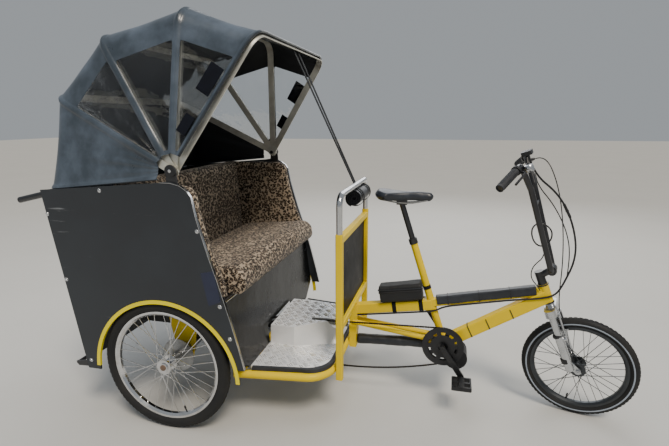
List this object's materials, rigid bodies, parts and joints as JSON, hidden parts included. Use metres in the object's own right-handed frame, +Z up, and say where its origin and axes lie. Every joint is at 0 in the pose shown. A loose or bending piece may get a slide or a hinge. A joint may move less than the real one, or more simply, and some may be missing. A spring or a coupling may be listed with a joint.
{
  "type": "cycle rickshaw",
  "caption": "Pedal passenger rickshaw: rear cab with padded bench, side panels and folding hood over spoked wheels, joined to a rider frame with a steered front wheel.",
  "frame": {"origin": "on the ground under the middle of the vehicle", "axes": "+X to the front, +Y to the left, +Z up"},
  "size_m": [2.774, 1.176, 1.8411],
  "materials": {
    "axle_steel": "dull steel",
    "bag_black": "woven black",
    "battery_black": "matt black box",
    "bow_metal": "flat strip",
    "brake_silver": "cast arms",
    "bulkhead_black": "flat black sheet",
    "cable_black": "black cable sleeve",
    "chain_steel": "oiled",
    "chequer_plate": "bright raised pattern",
    "control_black": "moulded",
    "crank_steel": "dull silver",
    "deck_wood": "plain board",
    "edging_metal": "worn edge strip",
    "fork_silver": "silver",
    "frame_yellow": "glossy yellow paint",
    "front_rim_grey": "grey rim and dark spokes",
    "grip_rubber": "ribbed",
    "handle_black": "satin black tube",
    "handlebar_black": "gloss black tube",
    "hinge_steel": "plain",
    "hood_vinyl": "blue grey coated cloth",
    "kick_black": "glossy black sheet",
    "motor_black": "matt black casting",
    "pad_black": "wrapped black pad",
    "panel_grey": "dark grey with scratches",
    "pedal_black": "moulded black",
    "polished_steel": "polished tube",
    "rim_chrome": "bright rim and spokes",
    "roll_black": "rolled black vinyl",
    "saddle_black": "smooth black cover",
    "seat_fabric": "tan with dark rosettes",
    "seat_post_black": "satin black",
    "strap_webbing": "black webbing",
    "trim_yellow": "bright yellow edge trim",
    "tyre_black": "road tyre",
    "window_clear": "clear film"
  },
  "bodies": {
    "vehicle": {"apron_roll": "roll_black", "arch_trims": "trim_yellow", "battery_box": "battery_black", "bulkhead_frame": "frame_yellow", "bulkhead_panel": "bulkhead_black", "drive_chain": "chain_steel", "floor_edging": "edging_metal", "floor_frame": "frame_yellow", "floor_plates": "chequer_plate", "floor_tunnel": "chequer_plate", "frame_bag": "bag_black", "frame_cables": "cable_black", "grab_rail": "polished_steel", "hood_hinges": "hinge_steel", "kick_panel": "kick_black", "lower_tube_pad": "pad_black", "main_frame": "frame_yellow", "motor": "motor_black", "rear_axle": "axle_steel", "rear_bar": "handle_black", "rear_chassis": "frame_yellow", "rear_handles": "handle_black", "rear_panel": "panel_grey", "saddle": "saddle_black", "seat_back": "seat_fabric", "seat_cushion": "seat_fabric", "seat_deck": "deck_wood", "seat_post": "seat_post_black", "side_pads": "seat_fabric", "side_panel_left": "panel_grey", "side_panel_right": "panel_grey", "top_tube_pad": "pad_black"},
    "crank": {"crankset": "crank_steel"},
    "right_pedal": {"pedal_right": "pedal_black"},
    "left_pedal": {"pedal_left": "pedal_black"},
    "right_rear_wheel": {"rear_wheel_right": "rim_chrome", "rear_tyre_right": "tyre_black"},
    "left_rear_wheel": {"rear_wheel_left": "rim_chrome", "rear_tyre_left": "tyre_black"},
    "steering": {"fork": "fork_silver", "handlebar": "handlebar_black", "grips": "grip_rubber", "bar_controls": "control_black", "front_brake": "brake_silver", "brake_cables": "cable_black"},
    "front_wheel": {"front_wheel": "front_rim_grey", "front_tyre": "tyre_black"},
    "hood_1": {"hood_bow_1": "bow_metal", "hood_cloth_1": "hood_vinyl"},
    "hood_2": {"hood_bow_2": "bow_metal", "hood_cloth_2": "hood_vinyl", "hood_window_2": "window_clear"},
    "hood_3": {"hood_bow_3": "bow_metal", "hood_cloth_3": "hood_vinyl", "hood_window_3": "window_clear"},
    "hood_4": {"hood_bow_4": "bow_metal", "hood_cloth_4": "hood_vinyl", "hood_window_4": "window_clear", "hood_straps": "strap_webbing"}
  },
  "joints": [
    {"name": "rear_wheel_right_spin", "type": "hinge", "parent": "vehicle", "child": "right_rear_wheel", "pos_m": [-0.69795, -0.55, 0.312], "axis": [0, 1, 0], "continuous": true},
    {"name": "rear_wheel_left_spin", "type": "hinge", "parent": "vehicle", "child": "left_rear_wheel", "pos_m": [-0.69795, 0.55, 0.312], "axis": [0, 1, 0], "continuous": true},
    {"name": "steering", "type": "hinge", "parent": "vehicle", "child": "steering", "pos_m": [0.97327, 0, 0.59352], "axis": [-0.3633, 0, 0.9317], "range_deg": [-31, 59], "deforming": ["frame_cables"]},
    {"name": "front_wheel_spin", "type": "hinge", "parent": "steering", "child": "front_wheel", "pos_m": [1.14114, -0.00798, 0.25111], "axis": [0.2254, 0.9703, 0.0879], "continuous": true},
    {"name": "crank_spin", "type": "hinge", "parent": "vehicle", "child": "crank", "pos_m": [0.51405, 0, 0.307], "axis": [0, 1, 0], "continuous": true},
    {"name": "pedal_right_spin", "type": "hinge", "parent": "crank", "child": "right_pedal", "pos_m": [0.60911, -0.145, 0.16606], "axis": [0, 1, 0], "continuous": true},
    {"name": "pedal_left_spin", "type": "hinge", "parent": "crank", "child": "left_pedal", "pos_m": [0.41899, 0.145, 0.44794], "axis": [0, 1, 0], "continuous": true},
    {"name": "hood_fold_1", "type": "hinge", "parent": "vehicle", "child": "hood_1", "pos_m": [-0.58595, 0, 1.198], "axis": [0, -1, 0], "range_deg": [0, 22.5], "deforming": ["hood_cloth_1"]},
    {"name": "hood_fold_2", "type": "hinge", "parent": "hood_1", "child": "hood_2", "pos_m": [-0.58595, 0, 1.198], "axis": [0, -1, 0], "range_deg": [0, 25], "deforming": ["hood_cloth_2", "hood_window_2"]},
    {"name": "hood_fold_3", "type": "hinge", "parent": "hood_2", "child": "hood_3", "pos_m": [-0.58595, 0, 1.198], "axis": [0, -1, 0], "range_deg": [0, 29.5], "deforming": ["hood_cloth_3", "hood_window_3"]},
    {"name": "hood_fold_4", "type": "hinge", "parent": "hood_3", "child": "hood_4", "pos_m": [-0.58595, 0, 1.198], "axis": [0, -1, 0], "range_deg": [0, 24.3], "deforming": ["hood_cloth_4", "hood_window_4", "hood_straps"]}
  ],
  "couplings": [
    {"joint": "hood_fold_2", "follows": "hood_fold_1", "ratio": 1.11},
    {"joint": "hood_fold_3", "follows": "hood_fold_1", "ratio": 1.31},
    {"joint": "hood_fold_4", "follows": "hood_fold_1", "ratio": 1.08}
  ]
}
